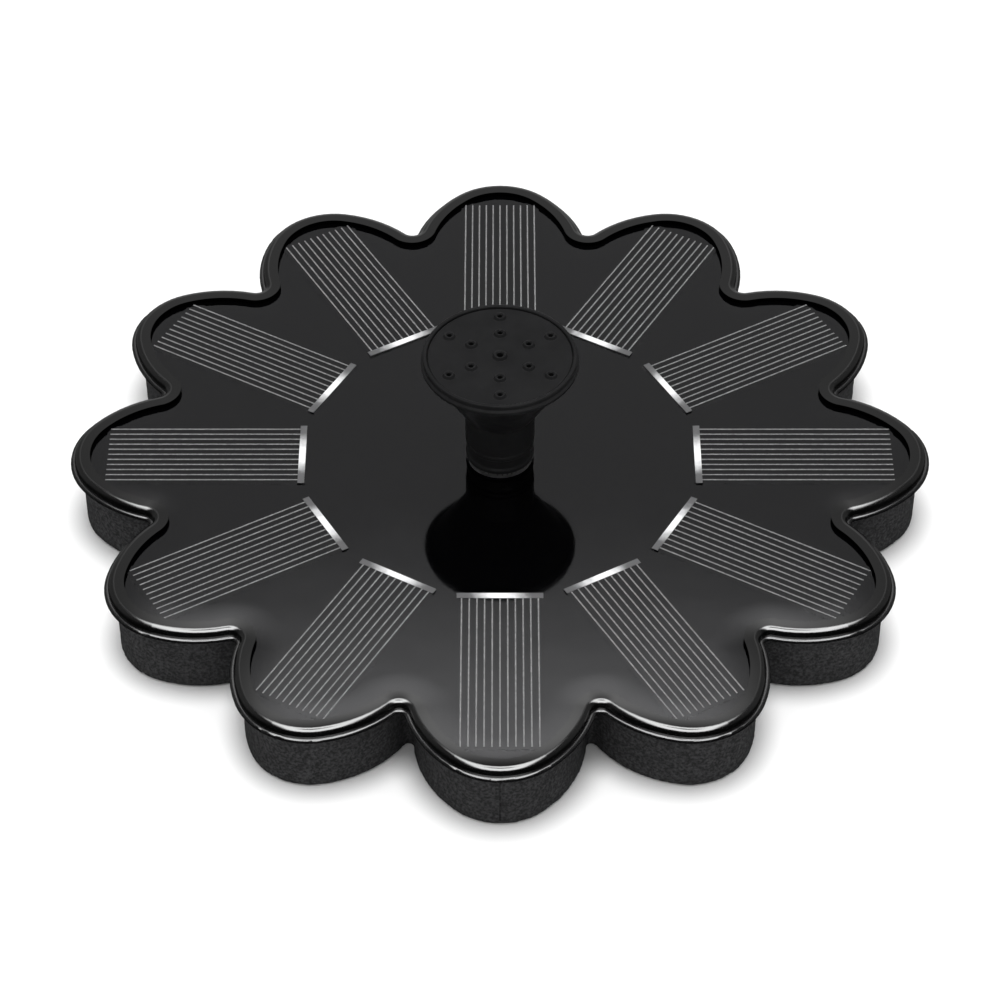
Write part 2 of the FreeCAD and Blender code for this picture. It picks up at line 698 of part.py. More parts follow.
# ---------------------------------------------------------------- nozzle
def nozzle_tube():
    """Adapter that pushes over the riser, with two grip beads and a thin upper neck for the head."""
    base = PANEL_TOP
    collar = PANEL_TOP + TUBE_COLLAR_TOP
    top = PANEL_TOP + TUBE_TOP
    throat = RISER_TOP + TUBE_THROAT_GAP
    return lathe([
        (TUBE_BORE, base),
        (BEAD_R - BEAD_CHAMFER, base),
        (BEAD_R, base + BEAD_CHAMFER),
        (BEAD_R, base + BEAD_HEIGHT),
        (TUBE_COLLAR_R, base + BEAD_HEIGHT + BEAD_SLOPE),
        (TUBE_COLLAR_R, collar - BEAD_HEIGHT - BEAD_SLOPE),
        (BEAD_R, collar - BEAD_HEIGHT),
        (BEAD_R, collar - BEAD_CHAMFER),
        (BEAD_R - BEAD_CHAMFER, collar),
        (TUBE_NECK_R, collar),
        (TUBE_NECK_R, top - TUBE_TOP_CHAMFER),
        (TUBE_NECK_R - TUBE_TOP_CHAMFER, top),
        (TUBE_THROAT_R, top),
        (TUBE_THROAT_R, throat),
        (TUBE_BORE, throat),
    ])


def spray_head():
    """Funnel-shaped shell of the shower nozzle, with a rounded rim and a seat for the spray plate."""
    foot = PANEL_TOP + TUBE_COLLAR_TOP
    rim_bottom = PANEL_TOP + RIM_BOTTOM
    rim_top = PANEL_TOP + RIM_TOP
    seat = PANEL_TOP + PLATE_BOTTOM
    throat = PANEL_TOP + TUBE_TOP + HEAD_THROAT_GAP
    body = lathe([
        (HEAD_BORE, foot),
        (HEAD_NECK_R - HEAD_NECK_CHAMFER, foot),
        (HEAD_NECK_R, foot + HEAD_NECK_CHAMFER),
        (HEAD_NECK_R, PANEL_TOP + HEAD_NECK_TOP),
        (FUNNEL_R, PANEL_TOP + FUNNEL_TOP),
        (FUNNEL_R, rim_bottom),
        (RIM_R, rim_bottom),
        (RIM_R, PANEL_TOP + FLANGE_TOP),
        (RIM_R - RIM_STEP, PANEL_TOP + FLANGE_TOP + RIM_STEP),
        (RIM_R - RIM_STEP, rim_top),
        (PLATE_SEAT_R, rim_top),
        (PLATE_SEAT_R, seat),
        (FUNNEL_R - HEAD_WALL, seat),
        (FUNNEL_R - HEAD_WALL, PANEL_TOP + FUNNEL_INSIDE_TOP),
        (HEAD_THROAT_R, throat + HEAD_THROAT_LIP),
        (HEAD_THROAT_R, throat),
        (HEAD_BORE, throat),
    ])
    body = body.makeFillet(RIM_FOOT_ROUND, circles_at(body, rim_bottom, RIM_R))
    tip = circles_at(body, rim_top, RIM_R - RIM_STEP) + circles_at(body, rim_top, PLATE_SEAT_R)
    return body.makeFillet(RIM_TIP_ROUND, tip)


def jet(foot_r, radius, angle):
    """The raised cone of one jet."""
    cone = Part.makeCone(foot_r, foot_r - JET_TAPER, JET_HEIGHT, Vector(radius, 0, PANEL_TOP + PLATE_TOP))
    return turned(cone, angle)


def jet_bore(hole_r, radius, angle):
    """Cutting tool for one jet's countersunk hole."""
    tip = PANEL_TOP + PLATE_TOP + JET_HEIGHT
    bore = disc(hole_r, PANEL_TOP + PLATE_BOTTOM - THROUGH, tip + THROUGH, radius)
    sink = Part.makeCone(hole_r, hole_r + COUNTERSINK, COUNTERSINK, Vector(radius, 0, tip - COUNTERSINK))
    return turned(bore.fuse(sink), angle)


def spray_plate():
    """Disc with a raised jet in the middle and two on each spoke, snapped into the head."""
    top = PANEL_TOP + PLATE_TOP
    plate = disc(PLATE_R, PANEL_TOP + PLATE_BOTTOM, top)
    plate = plate.makeChamfer(PLATE_CHAMFER, edges_at(plate, top))
    jets = [jet(CENTRE_JET_R, 0.0, 0.0)]
    bores = [jet_bore(CENTRE_JET_HOLE_R, 0.0, 0.0)]
    for k in range(JET_SPOKES):
        angle = FIRST_SPOKE + 360.0 * k / JET_SPOKES
        jets += [jet(JET_R, radius, angle) for radius in JET_RINGS]
        bores += [jet_bore(JET_HOLE_R, radius, angle) for radius in JET_RINGS]
    return cut_all(fuse_all([plate] + jets), bores)


# ---------------------------------------------------------------- build
PLAIN_PIECES = (
    clear_cover, panel_tray, cell_board, busbar_ribbons, cell_fingers, foam_float, float_tape,
    pump_housing, outlet_oring, outlet_grommet, pump_screws, volute_screws, volute_cover, volute_seal,
    rotor_shaft, lower_shaft_seat, upper_shaft_seat, lower_thrust_washer, upper_thrust_washer,
    rotor_bush, impeller, rotor_magnet, magnet_retainer, strainer_cap, filter_sponge,
    nozzle_tube, spray_head, spray_plate,
)
POTTED_PIECES = (
    stator_core, coil_bobbin, stator_coil, driver_board, driver_chip, driver_capacitors, hall_sensor,
    blocking_diode,
)


def build_parts():
    """Every node's shape, by node name."""
    potted = {make.__name__: make() for make in POTTED_PIECES}
    potted["power_lead_positive"] = power_lead(1)
    potted["power_lead_negative"] = power_lead(-1)
    parts = {make.__name__: make() for make in PLAIN_PIECES}
    for k, cell in enumerate(around(solar_cell(), PETALS)):
        parts[f"solar_cell_{k + 1:02d}"] = cell
    parts["potting_resin"] = potting_resin(potted.values())
    return {**parts, **potted}


def main():
    os.makedirs("parts", exist_ok=True)
    for name, shape in build_parts().items():
        if not shape.isValid() or not shape.Solids:
            raise RuntimeError(f"{name} is not a valid solid")
        shape.exportStep(f"parts/{name}.step")


main()
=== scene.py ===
"""Looks for the floating solar fountain pump: a material for every CAD node, and new pieces for the
foam float and the filter sponge."""
import json
import math

import bpy
import numpy as np
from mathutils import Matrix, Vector, noise

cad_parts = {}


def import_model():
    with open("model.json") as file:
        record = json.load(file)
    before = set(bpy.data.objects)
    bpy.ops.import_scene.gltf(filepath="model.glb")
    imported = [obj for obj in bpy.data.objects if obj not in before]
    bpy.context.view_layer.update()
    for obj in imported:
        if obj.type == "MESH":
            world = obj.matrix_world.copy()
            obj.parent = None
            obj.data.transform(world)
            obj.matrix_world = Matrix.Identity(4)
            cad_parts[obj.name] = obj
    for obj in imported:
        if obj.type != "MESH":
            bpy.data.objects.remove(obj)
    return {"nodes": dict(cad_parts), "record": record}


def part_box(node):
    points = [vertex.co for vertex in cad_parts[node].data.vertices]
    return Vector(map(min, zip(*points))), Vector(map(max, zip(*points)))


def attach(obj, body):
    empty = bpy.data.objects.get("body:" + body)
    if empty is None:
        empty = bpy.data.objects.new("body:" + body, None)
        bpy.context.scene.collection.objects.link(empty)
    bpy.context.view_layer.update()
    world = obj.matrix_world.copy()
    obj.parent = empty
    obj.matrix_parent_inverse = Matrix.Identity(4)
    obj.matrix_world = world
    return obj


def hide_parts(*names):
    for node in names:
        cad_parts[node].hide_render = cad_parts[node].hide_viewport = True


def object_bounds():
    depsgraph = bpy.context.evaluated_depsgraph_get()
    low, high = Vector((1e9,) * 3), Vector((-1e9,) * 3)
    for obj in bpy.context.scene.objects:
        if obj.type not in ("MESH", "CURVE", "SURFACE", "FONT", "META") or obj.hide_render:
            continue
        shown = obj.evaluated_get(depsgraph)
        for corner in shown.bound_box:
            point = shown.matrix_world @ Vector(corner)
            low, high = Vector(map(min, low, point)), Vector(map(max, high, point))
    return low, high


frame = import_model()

MM = 0.001
CAD_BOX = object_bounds()
NODES = frame["nodes"]
SLOT_OF = {entry["node"]: entry["material_slot"] for entry in frame["record"]["subparts"]}

# The flower's outline, as the CAD draws it: a tip arc, two flank arcs and a valley arc per petal
HALF_PITCH = math.radians(15.0)
TIP_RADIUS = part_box("panel_tray")[1][0]
TIP_ARC = 0.1716 * TIP_RADIUS
FLANK_ARC = 0.3002 * TIP_RADIUS
VALLEY_ARC = 0.0133 * TIP_RADIUS
TIP_HALF_ANGLE = math.radians(40.1)
RIBBON_HALF = 8.0 * MM

# The clear cover: its window, the black border round it, and the rolled edge outside that
WINDOW_INSET = 3.7 * MM         # from the tray's outline to the window; hides the gap round the board
CROWN_WIDTH = 9.0 * MM          # from the tray's outline to where the window's shading falls away
CROWN_DEPTH_MM = 0.26
WAVE_DEPTH_MM = 0.012
WINDOW_IOR = 1.5
WINDOW_SHINE = 0.55             # as a Specular IOR Level, where 0.5 is plain plastic
ROLLED_IOR = 2.1                # more than real resin has, for a strong highlight along the rim
ROLLED_UPNESS = (0.9995, 0.999)  # how straight up a face looks where the rolled edge starts, and is full

# Camera: a petal points at it, and it looks down on the panel
VIEW_ELEVATION = math.radians(43.3)
VIEW_DISTANCE = 650 * MM
VIEW_DROP = 9 * MM              # how far below the panel's centre the picture's centre lies
LENS_MM = 125.7
SENSOR_MM = 36.0
CLIP_START = 10 * MM

# Light on matt surfaces
DOME_LEVEL = 0.8                # from all round
OVERHEAD_STRENGTH = 2.4         # from above, in W/m2
OVERHEAD_ANGLE = math.radians(28.0)

# What gloss mirrors. Each pair is where a part of the studio starts and ends, by the direction looked in:
# UP is the sine of its elevation, and SIDE and BACK are its shares to either side and away from the camera.
ROOM_LEVEL = 0.48
ROOM_FLOOR_UP = (-0.05, 0.20)
ROOM_CEILING_UP = (0.77, 0.82)
ROOM_BACK = (-0.45, 0.25)
ROOM_SIDE = (0.10, 0.55)
BAND_LEVEL = 1.9                # a bright band behind the object, which lights up the front petals
BAND_BOTTOM_UP = (0.697, 0.768)
BAND_TOP_UP = (0.772, 0.805)
BAND_SIDE = (0.05, 0.17)
SOFTBOX_LEVEL = 6.0
SOFTBOX_FRONT_UP = (0.70, 0.76)
SOFTBOX_REAR_UP = (0.85, 0.95)
SOFTBOX_SIDE = (0.32, 0.55)
SOFTBOX_GAP_UP = (0.985, 0.993)  # none straight above, so that the panel stays dark when seen from above

FLOOR_HALF = 6.0
FLOOR_GAP = 0.02 * MM


# ---------------------------------------------------------------- material building blocks
class Graph:
    """A shader node tree under construction."""

    def __init__(self, tree):
        self.tree = tree

    def connect(self, value, socket):
        """Links a socket, or sets a plain value."""
        if isinstance(value, bpy.types.NodeSocket):
            self.tree.links.new(value, socket)
        else:
            socket.default_value = value

    def add(self, kind, inputs=None, **settings):
        """A new shader node, with its settings and inputs."""
        node = self.tree.nodes.new("ShaderNode" + kind)
        for key, value in settings.items():
            setattr(node, key, value)
        for key, value in (inputs or {}).items():
            self.connect(value, node.inputs[key])
        return node

    def math(self, operation, *values):
        """One arithmetic step."""
        node = self.add("Math", operation=operation)
        for value, socket in zip(values, node.inputs):
            self.connect(value, socket)
        return node.outputs["Value"]

    def remap(self, value, low, high, start, end, interpolation="LINEAR"):
        """Value taken from the range low..high to start..end, and held at its ends."""
        node = self.add("MapRange", {"Value": value, "From Min": low, "From Max": high,
                                     "To Min": start, "To Max": end}, interpolation_type=interpolation)
        return node.outputs["Result"]

    def choose(self, factor, first, second):
        """A number that goes from first to second with factor."""
        node = self.add("Mix", data_type="FLOAT")
        numbers = [socket for socket in node.inputs if socket.type == "VALUE"]
        for value, socket in zip((factor, first, second), numbers):
            self.connect(value, socket)
        return [socket for socket in node.outputs if socket.type == "VALUE"][0]

    def product(self, *values):
        """All the values multiplied together."""
        result = values[0]
        for value in values[1:]:
            result = self.math("MULTIPLY", result, value)
        return result

    def rise(self, value, places, top=1.0):
        """Smoothly from 0 before the first place to top after the second."""
        return self.remap(value, *places, 0.0, top, "SMOOTHSTEP")

    def fall(self, value, places, rest=0.0):
        """Smoothly from 1 before the first place to rest after the second."""
        return self.remap(value, *places, 1.0, rest, "SMOOTHSTEP")

    def length(self, x, y):
        """The length of a flat vector."""
        squares = self.math("ADD", self.math("MULTIPLY", x, x), self.math("MULTIPLY", y, y))
        return self.math("SQRT", squares)


class Surface(Graph):
    """A procedural material, in object coordinates."""

    def __init__(self, name):
        self.material = bpy.data.materials.new(name)
        self.material.use_nodes = True
        super().__init__(self.material.node_tree)
        self.shader = self.tree.nodes["Principled BSDF"]
        self.place = self.add("TexCoord").outputs["Object"]

    def noise(self, feature_mm, detail=3.0, place=None):
        """Cloudy noise whose features are about feature_mm across."""
        node = self.add("TexNoise", {"Vector": place or self.place, "Scale": 1 / (feature_mm * MM),
                                     "Detail": detail, "Roughness": 0.6})
        return node.outputs["Fac"]

    def cells(self, feature_mm, feature="F1"):
        """Distance inside random cells about feature_mm across."""
        inputs = {"Vector": self.place, "Scale": 1 / (feature_mm * MM)}
        node = self.add("TexVoronoi", inputs, feature=feature)
        return node.outputs["Distance"]

    def blend(self, factor, first, second):
        """Colour that goes from first to second with factor."""
        node = self.add("Mix", {"Factor": factor}, data_type="RGBA")
        colours = [socket for socket in node.inputs if socket.type == "RGBA"]
        for colour, socket in zip((first, second), colours):
            self.connect((*colour, 1.0) if isinstance(colour, tuple) else colour, socket)
        return [socket for socket in node.outputs if socket.type == "RGBA"][0]

    def petal_place(self):
        """How far along and across the nearest petal's centre line a point lies."""
        x, y, _ = self.add("SeparateXYZ", {"Vector": self.place}).outputs
        angle = self.math("PINGPONG", self.math("ARCTAN2", y, x), HALF_PITCH)
        radius = self.length(x, y)
        along = self.math("MULTIPLY", radius, self.math("COSINE", angle))
        across = self.math("MULTIPLY", radius, self.math("SINE", angle))
        return along, across

    def edge_distance(self):
        """How far inside the flower's outline a point lies."""
        along, across = self.petal_place()
        tip_x = TIP_RADIUS - TIP_ARC
        back = FLANK_ARC - TIP_ARC
        flank_x = tip_x - back * math.cos(TIP_HALF_ANGLE)
        flank_y = -back * math.sin(TIP_HALF_ANGLE)
        # The valley arc's centre lies on the valley line, where it touches the flank arc
        middle = math.cos(HALF_PITCH) * flank_x + math.sin(HALF_PITCH) * flank_y
        beyond = (FLANK_ARC + VALLEY_ARC) ** 2 - flank_x ** 2 - flank_y ** 2
        reach = middle + math.sqrt(middle ** 2 + beyond)
        valley_x = reach * math.cos(HALF_PITCH)
        valley_y = reach * math.sin(HALF_PITCH)
        in_tip = self.math("SUBTRACT", TIP_ARC, self.distance(along, across, tip_x, 0.0))
        in_flank = self.math("SUBTRACT", FLANK_ARC, self.distance(along, across, flank_x, flank_y))
        in_valley = self.math("SUBTRACT", self.distance(along, across, valley_x, valley_y), VALLEY_ARC)
        tip_run = math.cos(TIP_HALF_ANGLE)
        tip_rise = math.sin(TIP_HALF_ANGLE)
        near_tip = self.right_of(along, across, tip_x, 0.0, tip_run, tip_rise)
        near_side = self.right_of(along, across, flank_x, flank_y, valley_x - flank_x, valley_y - flank_y)
        return self.choose(near_side, in_valley, self.choose(near_tip, in_flank, in_tip))

    def distance(self, x, y, x0, y0):
        """How far (x, y) lies from the fixed point (x0, y0)."""
        return self.length(self.math("SUBTRACT", x, x0), self.math("SUBTRACT", y, y0))

    def right_of(self, x, y, x0, y0, run, rise):
        """1 to the right of the line from (x0, y0) along (run, rise), 0 to its left."""
        ahead = self.math("MULTIPLY", self.math("SUBTRACT", x, x0), rise)
        beside = self.math("MULTIPLY", self.math("SUBTRACT", y, y0), run)
        return self.math("GREATER_THAN", ahead, beside)

    def soft_edges(self, radius_mm):
        """Normals rounded over sharp edges."""
        return self.add("Bevel", {"Radius": radius_mm * MM}, samples=4).outputs["Normal"]

    def upness(self):
        """The height of the face's own normal: 1 where it looks straight up."""
        normal = self.add("NewGeometry").outputs["True Normal"]
        return self.add("SeparateXYZ", {"Vector": normal}).outputs["Z"]

    def mix_with(self, other, factor):
        """Shows another shader where factor is 0, and this material's own where it is 1."""
        mixed = self.add("MixShader", {"Fac": factor, 1: other, 2: self.shader.outputs["BSDF"]})
        self.connect(mixed.outputs["Shader"], self.tree.nodes["Material Output"].inputs["Surface"])

    def edge_mask(self, radius_mm):
        """1 on edges and corners, 0 on open faces."""
        rounded = self.soft_edges(radius_mm)
        normal = self.add("NewGeometry").outputs["Normal"]
        dot = self.add("VectorMath", {0: rounded, 1: normal}, operation="DOT_PRODUCT").outputs["Value"]
        return self.remap(dot, 0.995, 0.80, 0.0, 1.0)

    def bump(self, height, depth_mm, normal=None):
        """Normals of a height map that is depth_mm deep, laid over other normals if they are given."""
        inputs = {"Height": height, "Distance": depth_mm * MM, "Strength": 1.0}
        if normal is not None:
            inputs["Normal"] = normal
        return self.add("Bump", inputs).outputs["Normal"]

    def window_normal(self):
        """The clear window's normals: gently crowned towards its edge, and faintly wavy."""
        fall = self.remap(self.edge_distance(), 0.0, CROWN_WIDTH, 1.0, 0.0)
        crown = self.bump(self.product(fall, fall, -1.0), CROWN_DEPTH_MM)
        return self.bump(self.noise(9.0, 1.0), WAVE_DEPTH_MM, crown)

    def window_sheen(self):
        """The clear window's roughness: slightly uneven."""
        return self.remap(self.noise(14.0), 0.3, 0.7, 0.04, 0.07)

    def finish(self, **inputs):
        """Sets the shader's inputs (underscores stand for spaces) and returns the material."""
        for key, value in inputs.items():
            self.connect((*value, 1.0) if isinstance(value, tuple) else value,
                         self.shader.inputs[key.replace("_", " ")])
        return self.material


# ---------------------------------------------------------------- materials
def cover_resin():
    """Clear resin window, black border and rolled black edge. The window's own gloss is drawn by the layer
    under it (under_window), where it takes far fewer samples to come out clean. The border also stops what
    that layer mirrors, which leaves a thin black line inside it on the side away from the camera."""
    s = Surface("cover_resin")
    clear = s.add("BsdfTransparent", {"Color": (0.98, 0.98, 0.985, 1)})
    rolled = s.remap(s.math("ABSOLUTE", s.upness()), *ROLLED_UPNESS, 0.0, 1.0)
    outside = s.math("LESS_THAN", s.edge_distance(), WINDOW_INSET)
    rolled_sheen = s.remap(s.noise(6.0), 0.3, 0.7, 0.13, 0.18)
    s.finish(Base_Color=(0.001, 0.001, 0.001), Normal=s.window_normal(),
             Roughness=s.choose(rolled, s.window_sheen(), rolled_sheen),
             IOR=s.choose(rolled, WINDOW_IOR, ROLLED_IOR),
             Specular_IOR_Level=s.choose(rolled, WINDOW_SHINE, 0.5))
    s.mix_with(clear.outputs["BSDF"], s.math("MAXIMUM", rolled, outside))
    return s.material


def under_window(s, tone):
    """Finishes a black layer under the clear window, with the window's gloss and no visible side walls."""
    s.finish(Base_Color=tone, Roughness=s.window_sheen(), IOR=WINDOW_IOR, Specular_IOR_Level=WINDOW_SHINE,
             Normal=s.window_normal())
    s.mix_with(s.add("BsdfTransparent").outputs["BSDF"], s.math("GREATER_THAN", s.upness(), 0.5))
    return s.material


def moulded_plastic(name, colour, roughness, grain_mm, grain_depth, edge, wear_and_highlight=0.0, shine=0.5):
    """Moulded plastic: fine spark texture, uneven sheen, soft edges lightened by wear and by a painted
    highlight. Lengths in mm.
    """
    s = Surface(name)
    cloud = s.noise(6.0)
    edges = s.math("MULTIPLY", s.edge_mask(edge * 2), s.remap(s.noise(1.5), 0.35, 0.65, 0.2, 1.0))
    worn_and_highlit = tuple(min(1.0, c * 2.2 + 0.03) for c in colour)
    pale = tuple(1.15 * c for c in colour)
    deep = tuple(0.85 * c for c in colour)
    shaded = s.blend(s.remap(cloud, 0.3, 0.7, 0.0, 1.0), deep, pale)
    # Edges lightened: partly rubbed wear, partly a painted highlight (the nozzle's light rim ring)
    tone = s.blend(s.math("MULTIPLY", edges, wear_and_highlight), shaded, worn_and_highlit)
    sheen = s.remap(s.noise(2.5), 0.3, 0.7, roughness - 0.05, roughness + 0.06)
    grain = s.bump(s.noise(grain_mm, 2.0), grain_depth, s.soft_edges(edge))
    return s.finish(Base_Color=tone, Roughness=sheen, Normal=grain, Specular_IOR_Level=shine)


def tray_plastic():
    """Polished black plastic, whose edges are already rounded."""
    s = Surface("tray_plastic")
    tone = s.blend(s.noise(6.0), (0.003, 0.003, 0.0032), (0.005, 0.005, 0.0052))
    return s.finish(Base_Color=tone, Roughness=s.remap(s.noise(2.5), 0.3, 0.7, 0.16, 0.22), IOR=1.95,
                    Normal=s.bump(s.noise(0.5, 2.0), 0.001))


def nozzle_plastic():
    # Its lightened edges are a painted highlight: the light ring round the spray head's rim
    return moulded_plastic("nozzle_plastic", (0.0115, 0.0115, 0.0119), roughness=0.36, grain_mm=0.22,
                           grain_depth=0.003, edge=0.15, wear_and_highlight=0.4, shine=0.03)


def pump_plastic():
    return moulded_plastic("pump_plastic", (0.020, 0.020, 0.021), roughness=0.42, grain_mm=0.3,
                           grain_depth=0.006, edge=0.15, wear_and_highlight=0.3, shine=0.35)


def impeller_plastic():
    return moulded_plastic("impeller_plastic", (0.78, 0.78, 0.74), roughness=0.4, grain_mm=0.4,
                           grain_depth=0.004, edge=0.1)


def bush_plastic():
    return moulded_plastic("bush_plastic", (0.82, 0.80, 0.70), roughness=0.35, grain_mm=0.4,
                           grain_depth=0.003, edge=0.1)


def bobbin_plastic():
    return moulded_plastic("bobbin_plastic", (0.70, 0.66, 0.55), roughness=0.45, grain_mm=0.3,
                           grain_depth=0.004, edge=0.1)


def chip_body():
    return moulded_plastic("chip_body", (0.03, 0.03, 0.033), roughness=0.5, grain_mm=0.12,
                           grain_depth=0.006, edge=0.08, wear_and_highlight=0.2)


def seal_rubber():
    """Moulded rubber with a dry bloom."""
    s = Surface("seal_rubber")
    bloom = s.remap(s.noise(1.2, 4.0), 0.35, 0.7, 0.0, 1.0)
    tone = s.blend(bloom, (0.018, 0.018, 0.018), (0.045, 0.045, 0.044))
    grain = s.bump(s.noise(0.15, 3.0), 0.01, s.soft_edges(0.1))
    return s.finish(Base_Color=tone, Roughness=s.remap(bloom, 0, 1, 0.55, 0.75), Normal=grain,
                    Sheen_Weight=0.15)


def board_laminate():
    """Black solder mask with a faint glass weave and dust specks, under the clear window."""
    s = Surface("board_laminate")
    yarn = {"Vector": s.place, "Scale": 1 / (2.2 * MM), "Distortion": 0.3}
    weave = s.add("TexWave", yarn, bands_direction="X")
    cross = s.add("TexWave", yarn, bands_direction="Y")
    cloth = s.math("MULTIPLY", weave.outputs["Fac"], cross.outputs["Fac"])
    speck = s.remap(s.noise(0.3, 2.0), 0.55, 0.75, 0.0, 1.0)
    grain = s.math("ADD", s.math("MULTIPLY", speck, 0.3), s.math("MULTIPLY", cloth, 0.15))
    return under_window(s, s.blend(grain, (0.0004, 0.0004, 0.0005), (0.0024, 0.0024, 0.0026)))


def cell_silicon():
    """Silicon under a dark anti-reflection coat, with faint crystal clouding, under the clear window."""
    s = Surface("cell_silicon")
    cloud = s.remap(s.noise(5.0, 2.0), 0.3, 0.7, 0.0, 1.0)
    speck = s.remap(s.noise(0.25, 2.0), 0.55, 0.8, 0.0, 1.0)
    base = s.blend(cloud, (0.0005, 0.0005, 0.0006), (0.0008, 0.0008, 0.0010))
    return under_window(s, s.blend(s.math("MULTIPLY", speck, 0.3), base, (0.0024, 0.0025, 0.0029)))


def tinned_ribbon():
    """Solder-dipped ribbon with lumpy solder, and a painted sheen: bright mid-length, dark towards its
    ends.
    """
    s = Surface("tinned_ribbon")
    lumps = s.noise(1.6, 2.0)
    _, across = s.petal_place()
    uneven = s.math("MULTIPLY", s.math("SUBTRACT", lumps, 0.5), 3.0 * MM)
    # Painted sheen: the ribbon's colour goes from bright mid-length to dark towards the ends, as a
    # reflection would
    painted_sheen_fade = s.rise(s.math("ADD", across, uneven), (0.10 * RIBBON_HALF, 0.75 * RIBBON_HALF))
    tone = s.blend(painted_sheen_fade, (0.88, 0.88, 0.87), (0.10, 0.10, 0.10))
    normal = s.bump(lumps, 0.05, s.soft_edges(0.08))
    sheen = s.remap(lumps, 0.3, 0.7, 0.28, 0.42)
    return s.finish(Base_Color=tone, Metallic=0.15, Roughness=sheen, Normal=normal)


def silver_print():
    """Screen-printed silver paste: pale, matte and slightly broken along its length."""
    s = Surface("silver_print")
    tone = s.blend(s.remap(s.noise(0.5, 3.0), 0.3, 0.7, 0.0, 1.0), (0.13, 0.13, 0.13), (0.26, 0.26, 0.255))
    return s.finish(Base_Color=tone, Metallic=0.2, Roughness=0.5, Normal=s.bump(s.noise(0.2), 0.01))


def closed_cell_foam():
    """Cut closed-cell foam: fine pores, some of them catching the light, in a slightly cloudy block."""
    s = Surface("closed_cell_foam")
    pores = s.cells(0.30)
    speck = s.remap(s.noise(0.55, 4.0), 0.40, 0.66, 0.0, 1.0)
    cloud = s.remap(s.noise(8.0, 2.0), 0.3, 0.7, 0.75, 1.1)
    tone = s.blend(s.math("MULTIPLY", speck, cloud), (0.016, 0.016, 0.0165), (0.047, 0.047, 0.0485))
    return s.finish(Base_Color=tone, Roughness=0.92, Normal=s.bump(pores, 0.05), Specular_IOR_Level=0.1)


def filter_sponge():
    """Open-cell sponge: soft fibres, and deep pores darkened with painted shade."""
    s = Surface("filter_sponge")
    pores = s.cells(0.8)
    # Darker in the pores, where the bump sinks: painted shade
    tone = s.blend(s.remap(pores, 0.1, 0.6, 0.0, 1.0), (0.012, 0.012, 0.013), (0.075, 0.075, 0.08))
    return s.finish(Base_Color=tone, Roughness=0.95, Normal=s.bump(pores, 0.3), Sheen_Weight=0.2)


def tape_adhesive():
    s = Surface("tape_adhesive")
    tone = s.blend(s.noise(0.8, 4.0), (0.62, 0.62, 0.58), (0.78, 0.78, 0.75))
    return s.finish(Base_Color=tone, Roughness=0.8, Normal=s.bump(s.cells(0.4), 0.03))


def machined_steel(name, colour, roughness):
    """Bare metal with turning marks, patchy stains and softened edges."""
    s = Surface(name)
    stretched = s.add("Mapping", {"Vector": s.place, "Scale": (1.0, 1.0, 14.0)}).outputs["Vector"]
    marks = s.noise(0.5, 3.0, stretched)
    stain = s.remap(s.noise(2.0, 4.0), 0.45, 0.75, 0.0, 0.5)
    tone = s.blend(stain, colour, tuple(0.45 * c for c in colour))
    sheen = s.remap(marks, 0.3, 0.7, roughness - 0.07, roughness + 0.1)
    normal = s.bump(marks, 0.004, s.soft_edges(0.08))
    return s.finish(Base_Color=tone, Metallic=1.0, Roughness=sheen, Normal=normal)


def screw_steel():
    return machined_steel("screw_steel", (0.66, 0.66, 0.64), 0.28)


def core_steel():
    """Stamped laminations: fine layers along the stack's height."""
    s = Surface("core_steel")
    stack = {"Vector": s.place, "Scale": 1 / (3.0 * MM)}
    layers = s.add("TexWave", stack, bands_direction="Z").outputs["Fac"]
    tone = s.blend(s.remap(s.noise(1.5, 4.0), 0.4, 0.7, 0.0, 1.0), (0.30, 0.30, 0.31), (0.16, 0.12, 0.10))
    return s.finish(Base_Color=tone, Metallic=0.9, Roughness=0.5, Normal=s.bump(layers, 0.05))


def copper_wire():
    """Enamelled copper."""
    s = Surface("copper_wire")
    tone = s.blend(s.noise(1.0, 3.0), (0.48, 0.15, 0.05), (0.70, 0.28, 0.10))
    return s.finish(Base_Color=tone, Metallic=0.9, Roughness=0.28, Coat_Weight=0.6, Coat_Roughness=0.15,
                    Normal=s.bump(s.noise(0.3), 0.005))


def circuit_board():
    s = Surface("circuit_board")
    tracks = s.remap(s.cells(1.4, "DISTANCE_TO_EDGE"), 0.04, 0.08, 1.0, 0.0)
    tone = s.blend(tracks, (0.012, 0.09, 0.035), (0.03, 0.20, 0.08))
    return s.finish(Base_Color=tone, Roughness=0.3, Normal=s.bump(tracks, 0.02), Coat_Weight=0.3)


def capacitor_ceramic():
    s = Surface("capacitor_ceramic")
    tone = s.blend(s.noise(0.3, 3.0), (0.36, 0.24, 0.13), (0.50, 0.36, 0.20))
    return s.finish(Base_Color=tone, Roughness=0.45, Normal=s.bump(s.noise(0.2), 0.008, s.soft_edges(0.1)))


def bearing_ceramic():
    s = Surface("bearing_ceramic")
    tone = s.blend(s.noise(0.6, 3.0), (0.82, 0.82, 0.78), (0.90, 0.90, 0.88))
    return s.finish(Base_Color=tone, Roughness=0.18, Normal=s.bump(s.noise(0.2), 0.001, s.soft_edges(0.08)))


def magnet_ferrite():
    s = Surface("magnet_ferrite")
    tone = s.blend(s.noise(0.4, 4.0), (0.05, 0.05, 0.052), (0.11, 0.11, 0.115))
    return s.finish(Base_Color=tone, Metallic=0.4, Roughness=0.45,
                    Normal=s.bump(s.noise(0.25, 4.0), 0.01, s.soft_edges(0.12)))


